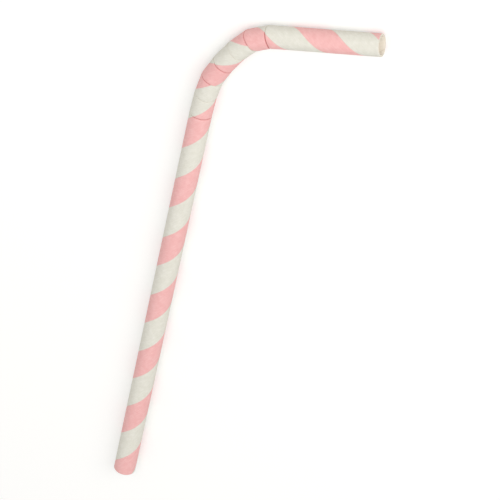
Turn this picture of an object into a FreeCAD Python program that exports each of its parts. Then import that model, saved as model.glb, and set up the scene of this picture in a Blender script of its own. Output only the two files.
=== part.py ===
"""Paper drinking straw with a creased neck, bent over and lying on its side.

The straw is one tube of glued paper. Ring creases in its neck let it bend: paper does
not stretch, so the outside of the bend keeps its full length, and what the inside has
to give up is tucked into the folds there.

Millimetres, +Z up. The origin is the centre of the bore at the foot. The body runs
along +Y, and the neck turns towards +X, flat in the XY plane.
"""

import FreeCAD
import Part
import os

# Driving dimensions. Lengths are millimetres, and turns are degrees.
SIZES = {
    "straw_diameter": 6.0,
    "wall_thickness": 0.4,
    "straw_length": 197.0,  # foot to mouth, along the outside of the bend
    "arm_length": 30.6,  # first crease to mouth, along the outside of the bend
    "crease_pitch": 6.4,  # crease to crease, along the outside of the bend
    "fold_gap": 0.2,  # between the two lips of a fold
    "fold_depth": 0.2,  # of a fold in the unbent straw
    "lip_bevel": 0.15,  # where the paper turns in over each lip
    "first_turn_angle": 16.0,  # how far the straw turns at the crease nearest the mouth
    "second_turn_angle": 22.0,
    "third_turn_angle": 7.5,
    "fourth_turn_angle": 6.5,
    "fifth_turn_angle": 12.5,
    "sixth_turn_angle": 5.5,
    "seventh_turn_angle": 2.0,
}

# The creases in the order in which a drink meets them, from the foot upwards.
CREASES = ("seventh", "sixth", "fifth", "fourth", "third", "second", "first")

# How far the cutter for the bore runs out of each end.
RUN_OUT = 2.0

OUTER = "sizes.straw_diameter / 2"
INNER = "(sizes.straw_diameter / 2 - sizes.wall_thickness)"
BODY_LENGTH = f"(sizes.straw_length - sizes.arm_length - {len(CREASES) - 1} * sizes.crease_pitch)"

doc = FreeCAD.newDocument("PaperStraw")


def make_sheet():
    """Put the driving dimensions in a spreadsheet, each under its own name."""
    sheet = doc.addObject("Spreadsheet::Sheet", "sizes")
    for row, (name, value) in enumerate(SIZES.items(), start=1):
        sheet.set(f"A{row}", str(value))
        sheet.setAlias(f"A{row}", name)
    doc.recompute()


def lean(crease):
    """Give how much shorter the axis is than the outside of the bend, on each side of a crease."""
    return f"sizes.straw_diameter / 2 * tan(sizes.{crease}_turn_angle / 2)"


def moved(start, across="0", along="0", turn="0"):
    """Give the placement across and along from start, turned in the plane of the bend."""
    return f"{start} * placement(vector({across}; 0; {along}); rotation(vector(0; 1; 0); {turn}))"


def make_station(name, placement):
    """Mark a place on the straw's axis. Local Z runs on towards the mouth, X is inside the bend."""
    station = doc.addObject("Part::LocalCoordinateSystem", name)
    station.setExpression("Placement", placement)
    return f"{name}.Placement"


def make_stations():
    """Walk up the axis from the foot, through each crease, to the mouth."""
    stations = {"foot": make_station("foot", "placement(vector(0; 0; 0); rotation(vector(1; 0; 0); -90))")}
    here = stations["foot"]
    step = BODY_LENGTH
    behind = "0"
    for crease in CREASES:
        step = f"{step} - {behind} - {lean(crease)}"
        half_turn = f"sizes.{crease}_turn_angle / 2"
        here = make_station(f"{crease}_crease", moved(here, along=step, turn=half_turn))
        stations[crease] = here
        here = moved(here, turn=half_turn)
        step = "sizes.crease_pitch"
        behind = lean(crease)
    stations["mouth"] = make_station("mouth", moved(here, along=f"sizes.arm_length - {behind}"))
    return stations


def make_rim(name, radius, crease, station, along, bevel="0"):
    """Draw the tube's section beside a crease, on the crease's own slant."""
    rim = doc.addObject("Part::Ellipse", name)
    rim.setExpression("MajorRadius", f"{radius} / cos(sizes.{crease}_turn_angle / 2) - {bevel}")
    rim.setExpression("MinorRadius", f"{radius} - {bevel}")
    drift = f"abs({along}) * tan(sizes.{crease}_turn_angle / 2)"
    rim.setExpression("Placement", moved(station, across=drift, along=along))
    return rim


def make_floor(name, radius, crease, station, along="0"):
    """Draw the floor of a fold.

    It is off centre, because the fold is shallow outside the bend, and inside the bend
    it holds the tucked paper.
    """
    tuck = f"(sizes.fold_depth + {lean(crease)})"
    floor = doc.addObject("Part::Ellipse", name)
    floor.setExpression("MajorRadius", f"{radius} / cos(sizes.{crease}_turn_angle / 2) - {tuck}")
    floor.setExpression("MinorRadius", f"{radius} - {tuck}")
    floor.setExpression("Placement", moved(station, across=f"-({lean(crease)})", along=along))
    return floor


def make_groove(crease, station):
    """Draw a fold as it shows outside: bevelled lips, and a floor where the paper closes up."""
    lip = "(sizes.fold_gap / 2)"
    edge = f"({lip} + sizes.lip_bevel)"
    return [
        make_rim(f"edge_below_{crease}", OUTER, crease, station, f"-{edge}"),
        make_rim(f"lip_below_{crease}", OUTER, crease, station, f"-{lip}", "sizes.lip_bevel"),
        make_floor(f"floor_{crease}", OUTER, crease, station),
        make_rim(f"lip_above_{crease}", OUTER, crease, station, lip, "sizes.lip_bevel"),
        make_rim(f"edge_above_{crease}", OUTER, crease, station, edge),
    ]


def make_ridge(crease, station):
    """Draw the same fold as it stands in the bore, where the paper is twice as thick."""
    foot = "(sizes.fold_gap / 2 + sizes.wall_thickness)"
    crest = "sizes.wall_thickness"
    return [
        make_rim(f"ridge_below_{crease}", INNER, crease, station, f"-{foot}"),
        make_floor(f"crest_below_{crease}", INNER, crease, station, f"-{crest}"),
        make_floor(f"crest_above_{crease}", INNER, crease, station, crest),
        make_rim(f"ridge_above_{crease}", INNER, crease, station, foot),
    ]


def make_circle(name, radius, placement):
    """Draw the tube's section square to its axis."""
    circle = doc.addObject("Part::Circle", name)
    circle.setExpression("Radius", radius)
    circle.setExpression("Placement", placement)
    return circle


def make_straight(name, radius, height, placement):
    """Make one of the two straight runs, which stay true cylinders."""
    straight = doc.addObject("Part::Cylinder", name)
    straight.setExpression("Radius", radius)
    straight.setExpression("Height", height)
    straight.setExpression("Placement", placement)
    return straight


def make_skin(prefix, stations, radius, make_fold, run_out):
    """Make the solid inside one skin of the paper: straight body, creased neck, straight arm.

    The straight runs stop a land short of the end creases, which clears their folds.
    """
    land = "(sizes.fold_gap / 2 + sizes.lip_bevel + 2 * sizes.wall_thickness)"
    body_run = f"{BODY_LENGTH} - 2 * {lean(CREASES[0])} - {land}"
    arm_run = f"sizes.arm_length - 2 * {lean(CREASES[-1])} - {land}"

    neck_start = moved(stations["foot"], along=body_run)
    neck_end = moved(stations["mouth"], along=f"-({arm_run})")
    rings = [make_circle(f"{prefix}_neck_start", radius, neck_start)]
    for crease in CREASES:
        rings += make_fold(crease, stations[crease])
    rings.append(make_circle(f"{prefix}_neck_end", radius, neck_end))
    neck = doc.addObject("Part::Loft", f"{prefix}_neck")
    neck.Sections = rings
    neck.Solid = True
    neck.Ruled = True

    below_foot = moved(stations["foot"], along=f"-{run_out}")
    body = make_straight(f"{prefix}_body", radius, f"{body_run} + {run_out}", below_foot)
    arm = make_straight(f"{prefix}_arm", radius, f"{arm_run} + {run_out}", neck_end)
    skin = doc.addObject("Part::MultiFuse", prefix)
    skin.Shapes = [body, neck, arm]
    return skin


def make_straw():
    """Make the paper between its outer skin and its bore."""
    stations = make_stations()
    outside = make_skin("outside", stations, OUTER, make_groove, run_out=0.0)
    bore = make_skin("bore", stations, INNER, make_ridge, run_out=RUN_OUT)
    straw = doc.addObject("Part::Cut", "straw")
    straw.Base = outside
    straw.Tool = bore
    straw.Label = "paper_straw"
    return straw


def check(parts):
    """Stop unless every object was made and every piece is one sound solid."""
    for item in doc.Objects:
        if "Invalid" in item.State or "Error" in item.State:
            raise RuntimeError(f"{item.Name} failed: {item.State}")
    for part in parts:
        if part.Shape.isNull() or not part.Shape.isValid() or len(part.Shape.Solids) != 1:
            raise RuntimeError(f"{part.Label} is not one valid solid")


make_sheet()
parts = [make_straw()]
doc.recompute()
check(parts)

os.makedirs("parts", exist_ok=True)
for part in parts:
    part.Shape.exportStep(f"parts/{part.Label}.step")
    box = part.Shape.optimalBoundingBox(True, False)
    print(part.Label, "volume", round(part.Shape.Volume, 2), "faces", len(part.Shape.Faces))
    print("from", [round(v, 3) for v in (box.XMin, box.YMin, box.ZMin)])
    print("to", [round(v, 3) for v in (box.XMax, box.YMax, box.ZMax)])
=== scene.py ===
# %% [markdown]
# # A striped paper drinking straw
#
# The real straw is three strips of paper, wound edge to edge round a steel pin and
# glued into one tube. Seven ring creases are pressed into its neck, and it is bent
# there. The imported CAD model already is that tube. It could be shown as it is, with a
# better material, but the printed stripe follows the paper into every fold, and the
# paper's cut edges and its seam are finer than the CAD needs. So the straw is made
# again here as one fine mesh, worked out from the same few sizes, and the CAD tube
# stays behind it for collision.

import math

import bpy
import numpy as np
from mathutils import Matrix, Vector


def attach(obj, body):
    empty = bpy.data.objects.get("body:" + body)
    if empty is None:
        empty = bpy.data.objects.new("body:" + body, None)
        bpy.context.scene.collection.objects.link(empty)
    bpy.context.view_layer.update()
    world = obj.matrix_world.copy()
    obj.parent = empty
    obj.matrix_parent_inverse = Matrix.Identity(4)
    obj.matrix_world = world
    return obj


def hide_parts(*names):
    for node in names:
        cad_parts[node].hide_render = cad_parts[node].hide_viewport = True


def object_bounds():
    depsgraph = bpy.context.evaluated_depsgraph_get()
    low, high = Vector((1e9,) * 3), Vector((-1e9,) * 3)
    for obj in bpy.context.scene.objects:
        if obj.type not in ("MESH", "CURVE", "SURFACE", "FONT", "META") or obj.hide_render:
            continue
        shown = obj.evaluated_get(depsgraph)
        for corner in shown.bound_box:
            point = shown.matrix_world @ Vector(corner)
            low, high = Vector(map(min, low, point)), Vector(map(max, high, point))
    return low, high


MM = 0.001


def in_mm(box):
    """Give a box's two corners in millimetres, rounded for printing."""
    return [[round(v / MM, 2) for v in corner] for corner in box]


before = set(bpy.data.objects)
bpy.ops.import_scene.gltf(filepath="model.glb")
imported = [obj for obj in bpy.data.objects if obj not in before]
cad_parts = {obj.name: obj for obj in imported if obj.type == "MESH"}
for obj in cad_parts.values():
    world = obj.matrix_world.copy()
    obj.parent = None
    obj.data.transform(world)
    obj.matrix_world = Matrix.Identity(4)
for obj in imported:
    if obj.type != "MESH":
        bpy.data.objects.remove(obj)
cad_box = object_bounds()
print("nodes", sorted(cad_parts), "box in mm", in_mm(cad_box))

# %% [markdown]
# ## The sizes
#
# Everything below is worked out in millimetres, because a straw is easier to think
# about that way, and is scaled to metres once, when the mesh is made. The turns are
# listed from the foot upwards. A crease near the foot hardly turns, and the second from
# the mouth turns most, as happens when a straw is bent over with one push.
#
# A fold starts a quarter of a millimetre from the crease's middle. Its two lips roll
# in and all but touch, because a bent straw presses them together. How far a lip rolls
# in differs from crease to crease: deep at the one nearest the mouth, which was pinched
# when the straw was bent, and faint at the third from the mouth.

# %% Sizes in millimetres and turns in degrees
OUTER_RADIUS = 3.0
WALL = 0.4
INNER_RADIUS = OUTER_RADIUS - WALL
STRAW_LENGTH = 197.0
ARM_LENGTH = 30.6
CREASE_PITCH = 6.4
TURNS = (2.0, 5.5, 12.5, 6.5, 7.5, 22.0, 16.0)
BODY_LENGTH = STRAW_LENGTH - ARM_LENGTH - (len(TURNS) - 1) * CREASE_PITCH

FOLD_DEPTH = 0.2
EDGE = 0.25
LIP = 0.03
LIP_DROPS = (0.13, 0.09, 0.12, 0.14, 0.07, 0.12, 0.19)
print("body", BODY_LENGTH, "mm, turned", sum(TURNS), "degrees in all")

# %% [markdown]
# ## The axis
#
# Paper hardly stretches. When the straw bends, the outside of the bend keeps its full
# length from crease to crease, and the axis is shorter by the lean on each side of a
# crease: the radius times the tangent of half the turn. The axis is walked from the foot
# to the mouth, and each crease's plane halves its turn, as a mitre does.

# %% Walk up the axis
def directions(heading):
    """Give three unit vectors for a heading turned from +Y to +X: inside the bend, round, and along."""
    inside = np.array((math.cos(heading), -math.sin(heading), 0.0))
    round_the_tube = np.array((0.0, 0.0, -1.0))
    along = np.array((math.sin(heading), math.cos(heading), 0.0))
    return inside, round_the_tube, along


def walk_axis():
    """Give each crease's place, heading and lean, and then the mouth's place and heading."""
    creases = []
    place = np.zeros(3)
    heading = 0.0
    step = BODY_LENGTH
    lean_behind = 0.0
    for turn in TURNS:
        half = math.radians(turn) / 2
        lean = OUTER_RADIUS * math.tan(half)
        place = place + directions(heading)[2] * (step - lean_behind - lean)
        drop = LIP_DROPS[len(creases)]
        crease = {"place": place, "heading": heading + half, "half": half, "lean": lean, "drop": drop}
        creases.append(crease)
        heading += 2 * half
        step = CREASE_PITCH
        lean_behind = lean
    mouth = place + directions(heading)[2] * (ARM_LENGTH - lean_behind)
    return creases, mouth, heading


CREASES, MOUTH, ARM_HEADING = walk_axis()
print("mouth at", MOUTH.round(2), "mm, arm turned", round(math.degrees(ARM_HEADING), 1), "degrees")

# %% [markdown]
# ## The length of the paper
#
# A printed stripe is drawn on the flat strip before it is wound and creased, so it has
# to be measured along the paper: down one leg of each fold and up the other. Outside the
# bend a fold is a shallow dent. Inside the bend it swallows all that the paper there has
# to give up, and the stripe seems to jump. Each crease's floor has one paper length all
# round the tube, and the legs count back from it.

# %% Measure the paper
def fold_depth(crease, angle):
    """Give the fold's depth round the tube. The angle is 0 inside the bend."""
    return FOLD_DEPTH + crease["lean"] * (1 + np.cos(angle))


def lip_length(crease):
    """Give the paper that rolls over a lip."""
    return math.hypot(EDGE - LIP, crease["drop"])


def leg_length(crease, angle):
    """Give the paper between the edge of a fold and its floor."""
    return lip_length(crease) + np.hypot(LIP, fold_depth(crease, angle) - crease["drop"])


OUTSIDE_THE_BEND = math.pi
paper = BODY_LENGTH - EDGE
for crease in CREASES:
    paper += leg_length(crease, OUTSIDE_THE_BEND)
    crease["paper"] = float(paper)
    paper += leg_length(crease, OUTSIDE_THE_BEND) + CREASE_PITCH - 2 * EDGE
PAPER_LENGTH = float(paper - CREASE_PITCH + 2 * EDGE + ARM_LENGTH - EDGE)
print("paper from foot to mouth", round(PAPER_LENGTH, 2), "mm")

# %% [markdown]
# ## Rings
#
# The tube is a stack of rings, and each knows two things for any angle round it: where
# its point is, and how far along the paper that point lies. A ring square to the axis is
# a circle. A ring on a crease's slant is an ellipse, just as a slanted saw cut through a
# pipe is, and it shrinks and moves to the outside of the bend as it goes down the fold.

# %% Rings that know their place and their paper
class Ring:
    """A section of the tube."""

    def __init__(self, centre, heading, half_widths, measure, packed_and_shaded_share=0.0):
        self.centre = centre
        self.heading = heading
        self.half_widths = half_widths
        self.measure = measure
        # How far this ring is darkened in a crease: packed paper and painted shade of the fold.
        self.packed_and_shaded_share = packed_and_shaded_share

    def points(self, angle):
        inside, round_the_tube, along = directions(self.heading)
        wide, tall = self.half_widths
        across = np.multiply.outer(wide * np.cos(angle), inside)
        around = np.multiply.outer(tall * np.sin(angle), round_the_tube)
        return self.centre + across + around


def square_ring(place, heading, radius, measured):
    """Make a ring square to the axis, where all the paper has come equally far."""
    return Ring(place, heading, (radius, radius), lambda angle: measured + 0.0 * angle)


def fold_ring(crease, radius, along, drop, sunk, measure, packed_and_shaded_share=0.0):
    """Make a ring beside a crease: along from it, dropped below the skin, and sunk into the fold."""
    tuck = sunk * (FOLD_DEPTH + crease["lean"])
    across = abs(along) * math.tan(crease["half"]) - sunk * crease["lean"]
    inside, _, normal = directions(crease["heading"])
    centre = crease["place"] + normal * along + inside * across
    wide = radius / math.cos(crease["half"]) - drop - tuck
    tall = radius - drop - tuck
    return Ring(centre, crease["heading"], (wide, tall), measure, packed_and_shaded_share)


sharpest = max(CREASES, key=lambda crease: crease["half"])
sunk_ring = fold_ring(sharpest, OUTER_RADIUS, 0.0, 0.0, 1.0, None)
print("a sunk ring at the sharpest crease is", np.round(sunk_ring.half_widths, 2), "mm wide and tall")

# %% [markdown]
# ## The folds as they show outside
#
# A pressed crease has soft lips: the paper rolls over before it dives. Each lip is a
# quarter round of five rings, and three more go down to the floor, which is a tight turn
# of its own. The same list is run backwards on the other side of the crease.

# %% Rings of one outside fold
LIP_STEPS = 4
LEG_STEPS = (0.45, 0.85)
FLOOR_RADIUS = 0.02


def outside_fold(crease):
    """Give the rings of a fold in order from the foot's side to the mouth's."""
    profile = []
    for step in range(LIP_STEPS + 1):
        roll = math.radians(90) * step / LIP_STEPS
        along = EDGE - (EDGE - LIP) * math.sin(roll)
        drop = crease["drop"] * (1 - math.cos(roll))
        profile.append((along, drop, 0.0, step / LIP_STEPS))
    for share in LEG_STEPS:
        along = LIP + (FLOOR_RADIUS - LIP) * share
        profile.append((along, crease["drop"] * (1 - share), share, 1 + share))
    # The last ring before the floor is all but at the bottom, where the paper turns back.
    profile.append((FLOOR_RADIUS * 0.5, 0.0, 0.97, 1.97))
    below = [fold_side(crease, step, -1) for step in profile]
    # Darkening at the floor, for packed paper and painted shade: full at the crease with the deepest lips.
    packed_and_shaded_share = crease["drop"] / max(LIP_DROPS)

    def floor_measure(angle):
        return crease["paper"] + 0.0 * angle

    floor = fold_ring(crease, OUTER_RADIUS, 0.0, 0.0, 1.0, floor_measure, packed_and_shaded_share)
    above = [fold_side(crease, step, 1) for step in reversed(profile)]
    return below + [floor] + above


def fold_side(crease, step, side):
    """Make one ring of a fold, on the foot's side (-1) or the mouth's side (1)."""
    along, drop, sunk, stage_of_leg = step

    def measure(angle):
        down = leg_length(crease, angle) - lip_length(crease)
        left = lip_length(crease) * max(0.0, 1 - stage_of_leg) + down * min(1.0, 2 - stage_of_leg)
        return crease["paper"] + side * left

    # Painted crease shade, with packed paper, rises over the lip and stays full down the leg.
    packed_and_shaded_share = min(1.0, stage_of_leg) * crease["drop"] / max(LIP_DROPS)
    return fold_ring(crease, OUTER_RADIUS, side * along, drop, sunk, measure, packed_and_shaded_share)


outside_folds = [outside_fold(crease) for crease in CREASES]
print(len(outside_folds), "folds of", len(outside_folds[0]), "rings")

# %% [markdown]
# ## The same folds in the bore
#
# Inside the tube each fold is a ridge, and the paper there lies double. Four rings a
# side are enough for a surface that is only seen end on, down a 5 mm hole.

# %% Rings of one ridge in the bore
RIDGE_FOOT = EDGE + 0.25
# Each step says how far it is from the crease, how far sunk, and its share of the leg.
RIDGE_STEPS = (
    (RIDGE_FOOT, 0.0, 1.2),
    (RIDGE_FOOT - 0.04, 0.35, 0.9),
    (WALL, 0.9, 0.3),
    (WALL * 0.6, 1.0, 0.1),
)


def bore_fold(crease):
    """Give the rings of a ridge in order from the foot's side to the mouth's."""
    below = [ridge_side(crease, step, -1) for step in RIDGE_STEPS]
    above = [ridge_side(crease, step, 1) for step in reversed(RIDGE_STEPS)]
    return below + above


def ridge_side(crease, step, side):
    """Make one ring of a ridge."""
    along, sunk, share_of_leg = step

    def measure(angle):
        return crease["paper"] + side * share_of_leg * leg_length(crease, angle)

    return fold_ring(crease, INNER_RADIUS, side * along, 0.0, sunk, measure)


bore_folds = [bore_fold(crease) for crease in CREASES]
print(len(bore_folds), "ridges of", len(bore_folds[0]), "rings")

# %% [markdown]
# ## Fill in the straight runs
#
# Between two rings the paper is straight along the axis, so a ring in between is simply
# a mix of its two neighbours, in place and in paper length alike. The stripe is a helix,
# and the mesh's columns will follow it, so the straight runs need a ring every half
# millimetre for the helix to stay round.

# %% Rows of rings, with straight runs divided
class Between:
    """A ring part of the way from one ring to the next."""

    def __init__(self, low, high, share):
        self.low = low
        self.high = high
        self.share = share

    def points(self, angle):
        return self.low.points(angle) * (1 - self.share) + self.high.points(angle) * self.share

    def measure(self, angle):
        return self.low.measure(angle) * (1 - self.share) + self.high.measure(angle) * self.share


def divide(low, high, spacing):
    """Give rings between two rings, no further apart than the spacing."""
    reach = np.linalg.norm(high.points(math.pi) - low.points(math.pi))
    pieces = max(1, math.ceil(reach / spacing))
    return [Between(low, high, step / pieces) for step in range(1, pieces)]


def stack(first, folds, last, spacing):
    """Stack all the rings of one skin, from the foot to the mouth."""
    rows = [first]
    below = first
    for fold in folds:
        rows += divide(below, fold[0], spacing) + fold
        below = fold[-1]
    return rows + divide(below, last, spacing) + [last]


END_ROUND = 0.06
OUTSIDE_SPACING = 0.5
BORE_SPACING = 0.9


def end_ring(radius, inset, at_mouth):
    """Make a ring at the foot or the mouth, set in from the very end."""
    if at_mouth:
        place = MOUTH - directions(ARM_HEADING)[2] * inset
        return square_ring(place, ARM_HEADING, radius, PAPER_LENGTH - inset)
    return square_ring(np.array((0.0, inset, 0.0)), 0.0, radius, inset)


def skin_rows(radius, folds, spacing):
    """Stack one skin between its foot and its mouth."""
    foot = end_ring(radius, END_ROUND, False)
    mouth = end_ring(radius, END_ROUND, True)
    return stack(foot, folds, mouth, spacing)


outside_rows = skin_rows(OUTER_RADIUS, outside_folds, OUTSIDE_SPACING)
bore_rows = skin_rows(INNER_RADIUS, bore_folds, BORE_SPACING)
print(len(outside_rows), "rows outside,", len(bore_rows), "rows in the bore")

# %% [markdown]
# ## The cut ends
#
# The straw is cut with a rotary knife after it is glued, and its end shows three plies
# with a hair line of glue between them. From the side the rim is slightly rounded, since
# the knife's pressure turns the paper's edge. A few rings across the 0.4 mm wall give
# both: a rounded corner, and a shallow dip at each glue line.

# %% Rings across the wall
PLY = WALL / 3
GLUE_DIP = 0.025
GLUE_REACH = 0.03
GLUE_SHOULDER = 0.003


def rim_rings(at_mouth):
    """Give the rings across the end face, from the outer skin to the bore."""
    steps = []
    for roll_degrees in (30, 60):
        roll = math.radians(roll_degrees)
        steps.append((OUTER_RADIUS - END_ROUND * (1 - math.cos(roll)), END_ROUND * (1 - math.sin(roll))))
    steps.append((OUTER_RADIUS - END_ROUND, 0.0))
    for ply in (1, 2):
        joint = OUTER_RADIUS - ply * PLY
        steps.append((joint + GLUE_REACH, GLUE_SHOULDER))
        steps.append((joint, GLUE_DIP))
        steps.append((joint - GLUE_REACH, GLUE_SHOULDER))
    steps.append((INNER_RADIUS + END_ROUND, 0.0))
    for roll_degrees in (60, 30):
        roll = math.radians(roll_degrees)
        steps.append((INNER_RADIUS + END_ROUND * (1 - math.cos(roll)), END_ROUND * (1 - math.sin(roll))))
    return [end_ring(radius, inset, at_mouth) for radius, inset in steps]


mouth_rings = rim_rings(True)
foot_rings = rim_rings(False)
print(len(mouth_rings), "rings across each cut end")

# %% [markdown]
# ## Columns that follow the wound strip
#
# The outer strip climbs 20.5 mm a turn, as a right-handed screw does. If the mesh's
# columns climb with it, the seam where the strip's two edges meet is one clean line of
# vertices, and it can be pressed in a little, as it is on a real straw. The angle of a
# column depends on the paper length, and that depends on the angle again inside a fold,
# so the two are settled by going round a few times.

# %% Columns along the helix
LEAD = 20.5
WHITE_AT_MOUTH = 9.4
FACING = math.radians(-128.0)
GIRTH = 2 * math.pi * OUTER_RADIUS
START = FACING - 2 * math.pi * (PAPER_LENGTH - WHITE_AT_MOUTH) / LEAD

SETTLING_ROUNDS = 14
near_seam = np.array((-0.3, -0.18, -0.09, -0.04, 0.0, 0.04, 0.09, 0.18, 0.3))
far_from_seam = np.linspace(0.3, GIRTH - 0.3, 72)[1:-1]
COLUMNS = np.concatenate((near_seam, far_from_seam)) / GIRTH

SEAM_DEPTH = 0.05
SEAM_WIDTH = 0.07
UNDER_SEAM_DEPTH = 0.02
UNDER_SEAM_WIDTH = 0.3


def wound_angle(ring):
    """Give each column's angle on a ring."""
    angle = np.zeros(len(COLUMNS))
    for _ in range(SETTLING_ROUNDS):
        angle = START + 2 * math.pi * (COLUMNS + ring.measure(angle) / LEAD)
    return angle


def seam_dip():
    """Give how deep each column is pressed in: sharply at the outer seam, faintly over the one below."""
    from_seam = (COLUMNS + 0.5) % 1.0 - 0.5
    from_under_seam = (COLUMNS % 1.0) - 0.5
    sharp = SEAM_DEPTH * np.exp(-((from_seam * GIRTH / SEAM_WIDTH) ** 2))
    faint = UNDER_SEAM_DEPTH * np.exp(-((from_under_seam * GIRTH / UNDER_SEAM_WIDTH) ** 2))
    return sharp + faint


SEAM_DIP = seam_dip()
print(len(COLUMNS), "columns, seam", round(SEAM_DIP.max(), 3), "mm deep")

# %% [markdown]
# ## Small faults of real paper
#
# A hand-bent crease is never a perfect ring. The lips wander by a tenth of a millimetre
# along the straw, and the paper beside a sharp turn swells a little where it is pushed
# together. Both fade out between the creases. They come from a few sine waves with
# seeded phases, so that every run gives the same straw.

# %% Wandering creases and swollen lips
rng = np.random.default_rng(7)
# Waves round the tube, each with how far it strays in millimetres.
WAVES = ((2, 0.07), (3, 0.05), (5, 0.03))
WANDER = [[(count, rng.uniform(0, 2 * math.pi), size) for count, size in WAVES] for _ in TURNS]

NEARBY = 8.0
WANDER_REACH = 1.8
SWELL = 0.10
SWELL_START = 0.1
SWELL_RISE = 0.4
SWELL_REACH = 2.4


def wander(index, angle):
    """Give how far a crease's line strays along the straw at each angle."""
    return sum(size * np.sin(count * angle + phase) for count, phase, size in WANDER[index])


def disturb(points, angle):
    """Move points near a crease along the straw, and swell the paper inside a sharp turn."""
    moved = points.copy()
    for index, crease in enumerate(CREASES):
        inside, round_the_tube, normal = directions(crease["heading"])
        offset = points - crease["place"]
        along = offset @ normal
        beside = np.linalg.norm(offset, axis=-1) < NEARBY
        fade = np.clip(1 - (np.abs(along) - EDGE) / WANDER_REACH, 0, 1) * beside
        moved += np.multiply.outer(wander(index, angle) * fade, normal)
        swell = np.clip((np.abs(along) - SWELL_START) / SWELL_RISE, 0, 1)
        swell *= np.clip(1 - np.abs(along) / SWELL_REACH, 0, 1)
        outward = np.cos(angle)[..., None] * inside + np.sin(angle)[..., None] * round_the_tube
        amount = SWELL * crease["lean"] * (1 + np.cos(angle)) * swell * beside
        moved += outward * amount[..., None]
    return moved


all_round = np.linspace(0, 2 * math.pi, 90)
farthest = max(np.abs(wander(index, all_round)).max() for index in range(len(CREASES)))
print("creases wander by up to", round(farthest, 2), "mm")

# %% [markdown]
# ## Make the mesh
#
# The skins and the two cut ends join into one closed tube of four-sided faces: up the
# outside, in across the mouth, down the bore and out across the foot. Each vertex also
# keeps how far round the strip it is and how far along the paper, which the print reads
# as a UV map, and how much it is darkened in a fold, for packed paper and painted shade,
# which the print reads as an attribute.

# %% Work out every vertex
def skin_points(rows, dip, disturbed):
    """Give the points of all rows, with the angle and the paper length of each."""
    places = []
    lengths = []
    for ring in rows:
        angle = wound_angle(ring)
        points = ring.points(angle)
        if disturbed:
            points = disturb(points, angle)
        towards_axis = ring_axis(ring) - points
        towards_axis /= np.linalg.norm(towards_axis, axis=-1)[:, None]
        places.append(points + towards_axis * dip[:, None])
        lengths.append(ring.measure(angle))
    return places, lengths


def ring_axis(ring):
    """Give the middle of a ring."""
    return ring.points(np.array((0.0, math.pi))).mean(axis=0)


# In the bore the seam stands up a little, less than half as far as it dips outside.
BORE_SEAM_SHARE = -0.4
bore_dip = BORE_SEAM_SHARE * SEAM_DIP
no_dip = np.zeros(len(COLUMNS))
sections = (
    ("print", outside_rows, SEAM_DIP, True),
    ("edge", mouth_rings, no_dip, False),
    ("bore", bore_rows[::-1], bore_dip, False),
    ("edge", foot_rings[::-1], no_dip, False),
)
places = []
lengths = []
row_kind = []
for kind, rows, dip, disturbed in sections:
    new_places, new_lengths = skin_points(rows, dip, disturbed)
    places += new_places
    lengths += new_lengths
    row_kind += [kind] * len(rows)
vertices = np.concatenate(places) * MM
print(len(vertices), "vertices in", len(row_kind), "rows")

# %% [markdown]
# Four corners make a face: two on one row, two on the next. The last row joins the
# first, and the last column joins the first, so the tube has no open edge anywhere.

# %% Faces and the mesh
row_count = len(row_kind)
column_count = len(COLUMNS)
row, column = np.meshgrid(np.arange(row_count), np.arange(column_count), indexing="ij")
next_row = (row + 1) % row_count
next_column = (column + 1) % column_count
corner_rows = np.stack((row, row, next_row, next_row), axis=-1)
corner_columns = np.stack((column, next_column, next_column, column), axis=-1)
corners = (corner_rows * column_count + corner_columns).reshape(-1, 4)

mesh = bpy.data.meshes.new("striped_straw")
mesh.from_pydata(vertices.tolist(), [], corners.tolist())
mesh.shade_smooth()
straw = bpy.data.objects.new("striped_straw", mesh)
bpy.context.scene.collection.objects.link(straw)
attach(straw, "root")
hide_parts("paper_straw")
print(len(mesh.polygons), "faces, mesh data needed mending:", mesh.validate())

# %% [markdown]
# ## Say where the paper lies
#
# The map named Paper gives each corner its place on the flat strip in millimetres:
# across the strip, and along the straw. A stripe is then a plain band of that map,
# with crisp edges at any size.

# %% The Paper map
column_share = np.append(COLUMNS, COLUMNS[0] + 1)
low_share = column_share[column]
high_share = column_share[column + 1]
corner_share = np.stack((low_share, high_share, high_share, low_share), axis=-1)
corner_length = np.array(lengths)[corner_rows, corner_columns]
flat = np.stack((corner_share * GIRTH, corner_length), axis=-1)
paper_map = mesh.uv_layers.new(name="Paper")
paper_map.data.foreach_set("uv", flat.reshape(-1).astype(np.float32))
print("across", flat[..., 0].min().round(2), "to", flat[..., 0].max().round(2), "mm")
print("along to", flat[..., 1].max().round(2), "mm")

# %% [markdown]
# The second map only packs the skin into a square, for whoever bakes the print into an
# image: the outside in three lengths side by side, the bore in three narrower ones, and
# each cut end as a ribbon beside them.

# %% A map for baking
CUTS = (0.0, 62.0, 124.0, PAPER_LENGTH)
MARGIN = 1.0
SHEET_HEIGHT = PAPER_LENGTH - CUTS[2] + 2 * MARGIN
COLUMN_WIDTH = {"print": GIRTH, "bore": GIRTH / 2}
GUTTER = 1.2
RIBBON = 0.35

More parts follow.
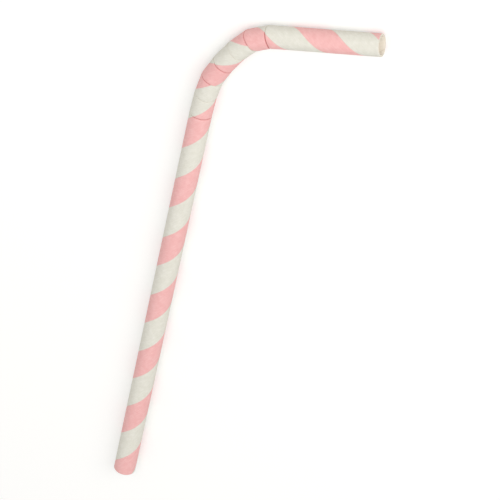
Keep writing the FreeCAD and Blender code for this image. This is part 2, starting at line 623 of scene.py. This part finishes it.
row_length = np.array(lengths).mean(axis=1)
row_length = np.minimum(row_length, np.roll(row_length, -1))
face_kind = [a if a == b else "edge" for a, b in zip(row_kind, row_kind[1:] + row_kind[:1])]
bake = np.zeros(corner_rows.shape + (2,))
left = GUTTER
for kind in ("print", "bore"):
    for start, end in zip(CUTS, CUTS[1:]):
        chosen = np.array([k == kind and start <= s < end for k, s in zip(face_kind, row_length)])
        bake[chosen, ..., 0] = left + (corner_share[chosen] - COLUMNS[0]) * COLUMN_WIDTH[kind]
        bake[chosen, ..., 1] = MARGIN + corner_length[chosen] - start
        left += COLUMN_WIDTH[kind] + GUTTER
edge_rows = [index for index, kind in enumerate(face_kind) if kind == "edge"]
for place_in_list, index in enumerate(edge_rows):
    if place_in_list and edge_rows[place_in_list - 1] != index - 1:
        left += GUTTER
    bake[index, :, (0, 1), 0] = left
    bake[index, :, (2, 3), 0] = left + RIBBON
    bake[index, ..., 1] = MARGIN + (corner_share[index] - COLUMNS[0]) * (SHEET_HEIGHT - 2 * MARGIN)
    left += RIBBON
bake[..., 0] /= left + GUTTER
bake[..., 1] /= SHEET_HEIGHT + MARGIN
bake_map = mesh.uv_layers.new(name="OFBake")
bake_map.data.foreach_set("uv", bake.reshape(-1).astype(np.float32))
print("baking sheet", round(left + GUTTER, 1), "by", round(SHEET_HEIGHT + MARGIN, 1), "mm")
print("map from", bake.min().round(3), "to", bake.max().round(3))

# %% [markdown]
# Two attributes tell the materials what the maps can't. One is how far a vertex is
# darkened in a crease, for packed paper and painted shade of the fold: 0 on the skin, up
# to 1 in the fold with the deepest lips. The other is how deep in the wall it lies, in
# millimetres, which finds the glue lines on the cut ends.

# %% Attributes for painted crease shade and glue lines
all_rings = [ring for _, rows, _, _ in sections for ring in rows]
crease_packed_and_shaded = np.repeat([getattr(ring, "packed_and_shaded_share", 0.0) for ring in all_rings], column_count)
axis_points = np.repeat([ring_axis(ring) for ring in all_rings], column_count, axis=0)
wall_depth = OUTER_RADIUS - np.linalg.norm(vertices / MM - axis_points, axis=-1)
for name, values in (("crease_packed_and_shaded", crease_packed_and_shaded), ("wall_depth", wall_depth)):
    layer = mesh.attributes.new(name, "FLOAT", "POINT")
    layer.data.foreach_set("value", values.astype(np.float32))
print("pressed vertices", int((crease_packed_and_shaded > 0).sum()))

# %% [markdown]
# ## Helpers for the finishes
#
# Colours are written as sRGB hex values, the way a paint chart or a picture editor
# gives them, and Blender's sockets want linear light, so one function turns them.
# Another adds a node, sets it and links its inputs in a single call.

# %% Colour and node helpers
def srgb(text):
    """Turn a hex colour into the linear values that a socket takes."""
    channels = [int(text[i : i + 2], 16) / 255 for i in (1, 3, 5)]
    return tuple(c / 12.92 if c <= 0.04045 else ((c + 0.055) / 1.055) ** 2.4 for c in channels) + (1.0,)


def add_node(tree, kind, settings=None, inputs=None):
    """Add a node, set its properties, and give each named input a value or a link."""
    node = tree.nodes.new(kind)
    for name, value in (settings or {}).items():
        setattr(node, name, value)
    for name, value in (inputs or {}).items():
        if isinstance(value, bpy.types.NodeSocket):
            tree.links.new(value, node.inputs[name])
        else:
            node.inputs[name].default_value = value
    return node


def new_material(name):
    """Make an empty material, and give it with its node tree."""
    material = bpy.data.materials.new(name)
    material.use_nodes = True
    material.node_tree.nodes.clear()
    return material, material.node_tree


print("the light pink in linear light", [round(c, 3) for c in srgb("#FCC7C4")])

# %% [markdown]
# ## The print on the outer ply
#
# The outer ply is white kraft paper, flexo printed: a rubber plate lays one band of
# water-based ink on the strip, just under half its width. The paper soaks the ink
# up, so its colour is flat and soft, with a faint mottle at the scale of the pulp's
# flocks, about a millimetre. A plate's edge is straight, and the ink's edge feathers by
# a tenth of a millimetre. An image could carry all this, but a band of the Paper map
# stays sharp from any distance, and it follows the folds.

# %% Printed kraft paper
PINK_SHARE = 0.49
FEATHER = 0.12 / GIRTH
STRAY = 0.07

printed, tree = new_material("flexo_printed_kraft_paper")
paper = add_node(tree, "ShaderNodeUVMap", {"uv_map": "Paper"})
on_strip = add_node(tree, "ShaderNodeSeparateXYZ", inputs={"Vector": paper.outputs["UV"]})
place = add_node(tree, "ShaderNodeTexCoord")

# The plate's edge strays by some hundredths of a millimetre.
stray = add_node(
    tree,
    "ShaderNodeTexNoise",
    inputs={"Vector": place.outputs["Object"], "Scale": 900.0, "Detail": 2.0},
)
strayed = add_node(
    tree,
    "ShaderNodeMath",
    {"operation": "MULTIPLY_ADD"},
    {0: stray.outputs["Fac"], 1: 2 * STRAY, 2: -STRAY},
)
across = add_node(
    tree,
    "ShaderNodeMath",
    {"operation": "ADD"},
    {0: on_strip.outputs["X"], 1: strayed.outputs[0]},
)
share = add_node(tree, "ShaderNodeMath", {"operation": "DIVIDE"}, {0: across.outputs[0], 1: GIRTH})
ink_starts = add_node(
    tree,
    "ShaderNodeMapRange",
    {"interpolation_type": "SMOOTHSTEP"},
    {"Value": share.outputs[0], "From Min": -FEATHER, "From Max": FEATHER},
)
ink_ends = add_node(
    tree,
    "ShaderNodeMapRange",
    {"interpolation_type": "SMOOTHSTEP"},
    {"Value": share.outputs[0], "From Min": PINK_SHARE + FEATHER, "From Max": PINK_SHARE - FEATHER},
)
ink = add_node(
    tree,
    "ShaderNodeMath",
    {"operation": "MULTIPLY"},
    {0: ink_starts.outputs[0], 1: ink_ends.outputs[0]},
)
print("ink covers", PINK_SHARE, "of a turn")

# %% [markdown]
# Pulp clumps as it drains on the wire, and ink takes unevenly on the clumps. A noise of
# about 1.2 mm shifts both colours by a few percent. Fibres lie mostly along the strip,
# so a second noise is stretched that way: a real fibre is 0.03 mm thick, too fine to
# show, and is drawn about nine times coarser. The two are multiplied, so that a clump
# shows the fibres in it.

# %% Mottle and fibres
flocks = add_node(
    tree,
    "ShaderNodeTexNoise",
    inputs={"Vector": place.outputs["Object"], "Scale": 830.0, "Detail": 3.0, "Roughness": 0.6},
)
along_strip = add_node(
    tree,
    "ShaderNodeMapping",
    inputs={"Vector": paper.outputs["UV"], "Scale": (3.6, 0.55, 1.0)},
)
fibres = add_node(
    tree,
    "ShaderNodeTexNoise",
    inputs={
        "Vector": along_strip.outputs["Vector"],
        "Scale": 1.0,
        "Detail": 3.0,
        "Roughness": 0.65,
    },
)
grain = add_node(
    tree,
    "ShaderNodeMath",
    {"operation": "MULTIPLY_ADD", "use_clamp": True},
    {0: fibres.outputs["Fac"], 1: 1.2, 2: -0.1},
)
uneven = add_node(
    tree,
    "ShaderNodeMath",
    {"operation": "MULTIPLY"},
    {0: flocks.outputs["Fac"], 1: grain.outputs[0]},
)
taken = add_node(
    tree,
    "ShaderNodeMapRange",
    inputs={"Value": uneven.outputs[0], "From Min": 0.08, "From Max": 0.42},
)
white_paper = add_node(
    tree,
    "ShaderNodeMix",
    {"data_type": "RGBA"},
    {"Factor": taken.outputs[0], "A": srgb("#E2DFD1"), "B": srgb("#EFECE1")},
)
pink_ink = add_node(
    tree,
    "ShaderNodeMix",
    {"data_type": "RGBA"},
    {"Factor": taken.outputs[0], "A": srgb("#F3B3B0"), "B": srgb("#FCC7C4")},
)
print(len(tree.nodes), "nodes so far")

# %% [markdown]
# A crease is pressed with a blunt wheel. It packs the paper, so the ink there is denser;
# on top of that the colour in a crease is darkened as painted shade of the fold, to a deeper
# pink on the ink and a faint grey on the white. The seam where the strip's two edges meet is
# a hair line, a touch darker: its glue, and painted shade of the gap between the edges.

# %% Packed ink and painted shade in the creases; glue and painted shade along the seam
# Darker colour in the creases: denser ink of packed paper, and painted shade of the fold.
packed_and_shaded_node = add_node(tree, "ShaderNodeAttribute", {"attribute_name": "crease_packed_and_shaded"})
packed_and_shaded_curve = add_node(
    tree,
    "ShaderNodeMath",
    {"operation": "POWER"},
    {0: packed_and_shaded_node.outputs["Fac"], 1: 0.85},
)
white_packed_and_shaded = add_node(
    tree,
    "ShaderNodeMix",
    {"data_type": "RGBA"},
    {"Factor": packed_and_shaded_curve.outputs[0], "A": white_paper.outputs[2], "B": srgb("#DDD8C9")},
)
pink_packed_and_shaded = add_node(
    tree,
    "ShaderNodeMix",
    {"data_type": "RGBA"},
    {"Factor": packed_and_shaded_curve.outputs[0], "A": pink_ink.outputs[2], "B": srgb("#C96A68")},
)
colour = add_node(
    tree,
    "ShaderNodeMix",
    {"data_type": "RGBA"},
    {"Factor": ink.outputs[0], "A": white_packed_and_shaded.outputs[2], "B": pink_packed_and_shaded.outputs[2]},
)
# A darker hair line on the outer seam: glue, and painted shade of the gap between the strip's edges.
from_seam = add_node(tree, "ShaderNodeMath", {"operation": "ABSOLUTE"}, {0: on_strip.outputs["X"]})
seam = add_node(
    tree,
    "ShaderNodeMapRange",
    {"interpolation_type": "SMOOTHSTEP"},
    {"Value": from_seam.outputs[0], "From Min": 0.09, "From Max": 0.02, "To Max": 0.45},
)
seamed = add_node(
    tree,
    "ShaderNodeMix",
    {"data_type": "RGBA"},
    {"Factor": seam.outputs[0], "A": colour.outputs[2], "B": srgb("#D9B9AE")},
)
print("seam and creases coloured")

# %% [markdown]
# The surface is calendered paper under a thin food-safe coat: matt, with a trace of
# sheen. The fibres give it a fine tooth, some hundredths of a millimetre high.

# %% Surface of the printed paper
tooth = add_node(
    tree,
    "ShaderNodeMath",
    {"operation": "MULTIPLY_ADD"},
    {0: fibres.outputs["Fac"], 1: 0.6, 2: flocks.outputs["Fac"]},
)
bump = add_node(
    tree,
    "ShaderNodeBump",
    inputs={"Strength": 0.7, "Distance": 0.00004, "Height": tooth.outputs[0]},
)
roughness = add_node(
    tree,
    "ShaderNodeMapRange",
    inputs={"Value": fibres.outputs["Fac"], "From Min": 0.3, "From Max": 0.7, "To Min": 0.52, "To Max": 0.66},
)
surface = add_node(
    tree,
    "ShaderNodeBsdfPrincipled",
    inputs={
        "Base Color": seamed.outputs[2],
        "Roughness": roughness.outputs[0],
        "IOR": 1.5,
        "Specular IOR Level": 0.35,
        "Normal": bump.outputs["Normal"],
    },
)
add_node(tree, "ShaderNodeOutputMaterial", inputs={"Surface": surface.outputs["BSDF"]})
print("printed paper has", len(tree.nodes), "nodes")

# %% [markdown]
# ## The plain paper of the bore
#
# The inner ply is the same kraft paper, unprinted, and warmer: it is less bleached, and
# light that enters the tube bounces between its walls and picks up more of the paper's
# colour at each bounce. Subsurface scattering would also let light in through the wall,
# but three glued plies pass very little, and next to the light that enters the mouth it
# only adds noise. So this is plain matt paper. Its own seam winds down the bore.

# %% Unprinted kraft paper
plain, tree = new_material("unprinted_kraft_paper")
paper = add_node(tree, "ShaderNodeUVMap", {"uv_map": "Paper"})
on_strip = add_node(tree, "ShaderNodeSeparateXYZ", inputs={"Vector": paper.outputs["UV"]})
along_strip = add_node(
    tree,
    "ShaderNodeMapping",
    inputs={"Vector": paper.outputs["UV"], "Scale": (3.2, 0.5, 1.0)},
)
fibres = add_node(
    tree,
    "ShaderNodeTexNoise",
    inputs={"Vector": along_strip.outputs["Vector"], "Scale": 1.0, "Detail": 4.0, "Roughness": 0.6},
)
pulp = add_node(
    tree,
    "ShaderNodeMix",
    {"data_type": "RGBA"},
    {"Factor": fibres.outputs["Fac"], "A": srgb("#FCF1E0"), "B": srgb("#FFF9EE")},
)
from_seam = add_node(tree, "ShaderNodeMath", {"operation": "ABSOLUTE"}, {0: on_strip.outputs["X"]})
seam = add_node(
    tree,
    "ShaderNodeMapRange",
    {"interpolation_type": "SMOOTHSTEP"},
    {"Value": from_seam.outputs[0], "From Min": 0.16, "From Max": 0.03, "To Max": 0.35},
)
seamed = add_node(
    tree,
    "ShaderNodeMix",
    {"data_type": "RGBA"},
    {"Factor": seam.outputs[0], "A": pulp.outputs[2], "B": srgb("#C4A986")},
)
bump = add_node(
    tree,
    "ShaderNodeBump",
    inputs={"Strength": 0.5, "Distance": 0.00003, "Height": fibres.outputs["Fac"]},
)
surface = add_node(
    tree,
    "ShaderNodeBsdfPrincipled",
    inputs={
        "Base Color": seamed.outputs[2],
        "Roughness": 0.8,
        "IOR": 1.5,
        "Specular IOR Level": 0.25,
        "Normal": bump.outputs["Normal"],
    },
)
add_node(tree, "ShaderNodeOutputMaterial", inputs={"Surface": surface.outputs["BSDF"]})
print("unprinted paper has", len(tree.nodes), "nodes")

# %% [markdown]
# ## The cut edge
#
# A knife leaves the ends of fibres standing, so the cut is creamy and quite matt, and
# the two glue lines show as thin darker rings. The rings come from the wall_depth
# attribute: it is 0.13 mm at the first joint and 0.27 mm at the second.

# %% Cut paper edge
cut, tree = new_material("knife_cut_paper_edge")
depth = add_node(tree, "ShaderNodeAttribute", {"attribute_name": "wall_depth"})
in_plies = add_node(
    tree,
    "ShaderNodeMath",
    {"operation": "DIVIDE"},
    {0: depth.outputs["Fac"], 1: PLY},
)
wrapped = add_node(
    tree,
    "ShaderNodeMath",
    {"operation": "PINGPONG"},
    {0: in_plies.outputs[0], 1: 0.5},
)
glue = add_node(
    tree,
    "ShaderNodeMapRange",
    {"interpolation_type": "SMOOTHSTEP"},
    {"Value": wrapped.outputs[0], "From Min": 0.2, "From Max": 0.02, "To Max": 0.7},
)
place = add_node(tree, "ShaderNodeTexCoord")
fibre_ends = add_node(
    tree,
    "ShaderNodeTexNoise",
    inputs={"Vector": place.outputs["Object"], "Scale": 5000.0, "Detail": 2.0},
)
pulp = add_node(
    tree,
    "ShaderNodeMix",
    {"data_type": "RGBA"},
    {"Factor": fibre_ends.outputs["Fac"], "A": srgb("#EDE8DA"), "B": srgb("#F7F4EA")},
)
ringed = add_node(
    tree,
    "ShaderNodeMix",
    {"data_type": "RGBA"},
    {"Factor": glue.outputs[0], "A": pulp.outputs[2], "B": srgb("#D8C9AC")},
)
bump = add_node(
    tree,
    "ShaderNodeBump",
    inputs={"Strength": 0.5, "Distance": 0.00003, "Height": fibre_ends.outputs["Fac"]},
)
surface = add_node(
    tree,
    "ShaderNodeBsdfPrincipled",
    inputs={
        "Base Color": ringed.outputs[2],
        "Roughness": 0.85,
        "IOR": 1.5,
        "Specular IOR Level": 0.2,
        "Normal": bump.outputs["Normal"],
    },
)
add_node(tree, "ShaderNodeOutputMaterial", inputs={"Surface": surface.outputs["BSDF"]})
print("cut edge has", len(tree.nodes), "nodes")

# %% [markdown]
# Every row of faces lies on the print, in the bore or on a cut end, and that decides
# which of the three papers it shows.

# %% Give each face its finish
for material in (printed, plain, cut):
    mesh.materials.append(material)
FINISH = {"print": 0, "bore": 1, "edge": 2}
finish_of_row = np.array([FINISH[kind] for kind in face_kind])
mesh.polygons.foreach_set("material_index", np.repeat(finish_of_row, column_count).astype(np.int32))
mesh.update()
print("faces of each finish", np.bincount(np.repeat(finish_of_row, column_count)).tolist())

# %% [markdown]
# ## Floor and light
#
# A straw can't stand alone, so it lies on its side, and a pale floor carries it. The
# light is two soft boxes and a bright even room, as for a catalogue picture: no dark
# side, a gentle fall towards both edges of the tube, and a soft shadow that shows it
# touches the floor. The floor is lightened only for rays that show it, so its whiteness
# adds no light to the straw.

# %% Pale floor
lowest = cad_box[0].z
FLOOR_MIDDLE = (0.02, 0.085)
FLOOR_REACH = 3.0
floor_corners = [(x * FLOOR_REACH, y * FLOOR_REACH, 0) for x, y in ((-1, -1), (1, -1), (1, 1), (-1, 1))]
floor_mesh = bpy.data.meshes.new("floor")
floor_mesh.from_pydata(floor_corners, [], [(0, 1, 2, 3)])
floor = bpy.data.objects.new("floor", floor_mesh)
floor.location = (*FLOOR_MIDDLE, lowest)
bpy.context.scene.collection.objects.link(floor)


def rays_that_show(tree):
    """Give 1 for a ray that shows the backdrop, straight or in a gloss, and 0 for the others."""
    rays = add_node(tree, "ShaderNodeLightPath")
    shows = rays.outputs["Is Camera Ray"]
    for kind in ("Is Glossy Ray", "Is Transmission Ray"):
        either = add_node(
            tree,
            "ShaderNodeMath",
            {"operation": "MAXIMUM"},
            {0: shows, 1: rays.outputs[kind]},
        )
        shows = either.outputs[0]
    return shows


WHITENED = 0.33
matt, tree = new_material("matt_white_board")
board = add_node(tree, "ShaderNodeBsdfDiffuse", inputs={"Color": srgb("#E2E1DE")})
whitening = add_node(
    tree,
    "ShaderNodeMath",
    {"operation": "MULTIPLY"},
    {0: rays_that_show(tree), 1: WHITENED},
)
glow = add_node(
    tree,
    "ShaderNodeEmission",
    inputs={"Color": srgb("#FFFFFF"), "Strength": whitening.outputs[0]},
)
surface = add_node(
    tree,
    "ShaderNodeAddShader",
    inputs={0: board.outputs["BSDF"], 1: glow.outputs["Emission"]},
)
add_node(tree, "ShaderNodeOutputMaterial", inputs={"Surface": surface.outputs["Shader"]})
floor_mesh.materials.append(matt)
print("floor at", round(lowest / MM, 2), "mm")

# %% [markdown]
# ## The camera
#
# The photograph looks at the bent straw from above its bend: the body comes up towards
# the lens at 40 degrees and leans 13 degrees to the right, and the arm points right and
# 20 degrees towards the lens. Those angles fix one direction of view in the straw's own
# frame. The lens is long, as in a catalogue picture, and its distance and aim are found
# by fitting the whole straw into a square frame.

# %% Camera
TOWARDS_CAMERA = np.array((0.145, 0.635, 0.759))
TOWARDS_CAMERA /= np.linalg.norm(TOWARDS_CAMERA)
BODY_LEAN = math.radians(13.0)
LENS = 300.0
SENSOR = 36.0
FILL = 0.90
FIRST_DISTANCE = 1.2
FITTING_ROUNDS = 12


def camera_axes():
    """Give the image's right and up for the view direction, with the body leaning right."""
    body = np.array((0.0, 1.0, 0.0))
    body_seen = body - body @ TOWARDS_CAMERA * TOWARDS_CAMERA
    body_seen /= np.linalg.norm(body_seen)
    beside = np.cross(body_seen, TOWARDS_CAMERA)
    up = body_seen * math.cos(BODY_LEAN) - beside * math.sin(BODY_LEAN)
    return np.cross(up, TOWARDS_CAMERA), up


def fit_camera(points):
    """Find the aim and the distance that centre the points and fill the frame."""
    right, up = camera_axes()
    aim = points.mean(axis=0)
    distance = FIRST_DISTANCE
    for _ in range(FITTING_ROUNDS):
        offset = points - aim
        depth = distance - offset @ TOWARDS_CAMERA
        seen = np.stack((offset @ right, offset @ up), axis=-1) / depth[:, None] * LENS / SENSOR
        middle = (seen.max(axis=0) + seen.min(axis=0)) / 2
        aim = aim + (middle[0] * right + middle[1] * up) * distance * SENSOR / LENS
        distance *= (seen.max(axis=0) - seen.min(axis=0)).max() / FILL
    return aim, distance, right, up


aim, distance, right, up = fit_camera(vertices)
camera_data = bpy.data.cameras.new("camera")
camera_data.lens = LENS
camera_data.sensor_width = SENSOR
camera = bpy.data.objects.new("camera", camera_data)
turned = Matrix((right, up, TOWARDS_CAMERA)).transposed().to_4x4()
camera.matrix_world = Matrix.Translation(Vector(aim + TOWARDS_CAMERA * distance)) @ turned
bpy.context.scene.collection.objects.link(camera)
bpy.context.scene.camera = camera
FRAME_PIXELS = 500
pixels_a_mm = FRAME_PIXELS * LENS / SENSOR / (distance / MM)
print("camera", round(distance / MM), "mm away,", round(pixels_a_mm, 2), "pixels a mm")

# %% [markdown]
# The larger soft box hangs over the straw, a little to the camera's side, so that body
# and arm are both brightest where they face the viewer. The other stands to the
# camera's right, where it looks a little way into the mouth, and lights its rim and its
# bore. The room's light is a plain world colour, and only rays that show the backdrop
# find it brighter.

# %% Light
ROOM_LIGHT = 0.53
BACKDROP = 0.86


def soft_box(name, offset, side, watts):
    """Hang a square lamp at an offset from the aim, facing it."""
    data = bpy.data.lights.new(name, "AREA")
    data.size = side
    data.energy = watts
    lamp = bpy.data.objects.new(name, data)
    place = Vector(aim + offset)
    lamp.location = place
    lamp.rotation_euler = (Vector(aim) - place).to_track_quat("-Z", "Y").to_euler()
    bpy.context.scene.collection.objects.link(lamp)
    return lamp


key = soft_box("soft_box", offset=np.array((-0.04, 0.22, 0.73)), side=0.7, watts=1.7)
fill = soft_box("fill_box", offset=np.array((0.40, 0.42, 0.46)), side=0.5, watts=2.1)

world = bpy.data.worlds.new("studio")
world.use_nodes = True
world.node_tree.nodes.clear()
strength = add_node(
    world.node_tree,
    "ShaderNodeMapRange",
    inputs={"Value": rays_that_show(world.node_tree), "To Min": ROOM_LIGHT, "To Max": BACKDROP},
)
room = add_node(
    world.node_tree,
    "ShaderNodeBackground",
    inputs={"Color": srgb("#FFFFFF"), "Strength": strength.outputs[0]},
)
add_node(world.node_tree, "ShaderNodeOutputWorld", inputs={"Surface": room.outputs["Background"]})
bpy.context.scene.world = world
bpy.context.scene.view_settings.view_transform = "Standard"
print("lamps", round(key.data.energy, 2), "and", round(fill.data.energy, 2), "W, room", ROOM_LIGHT)
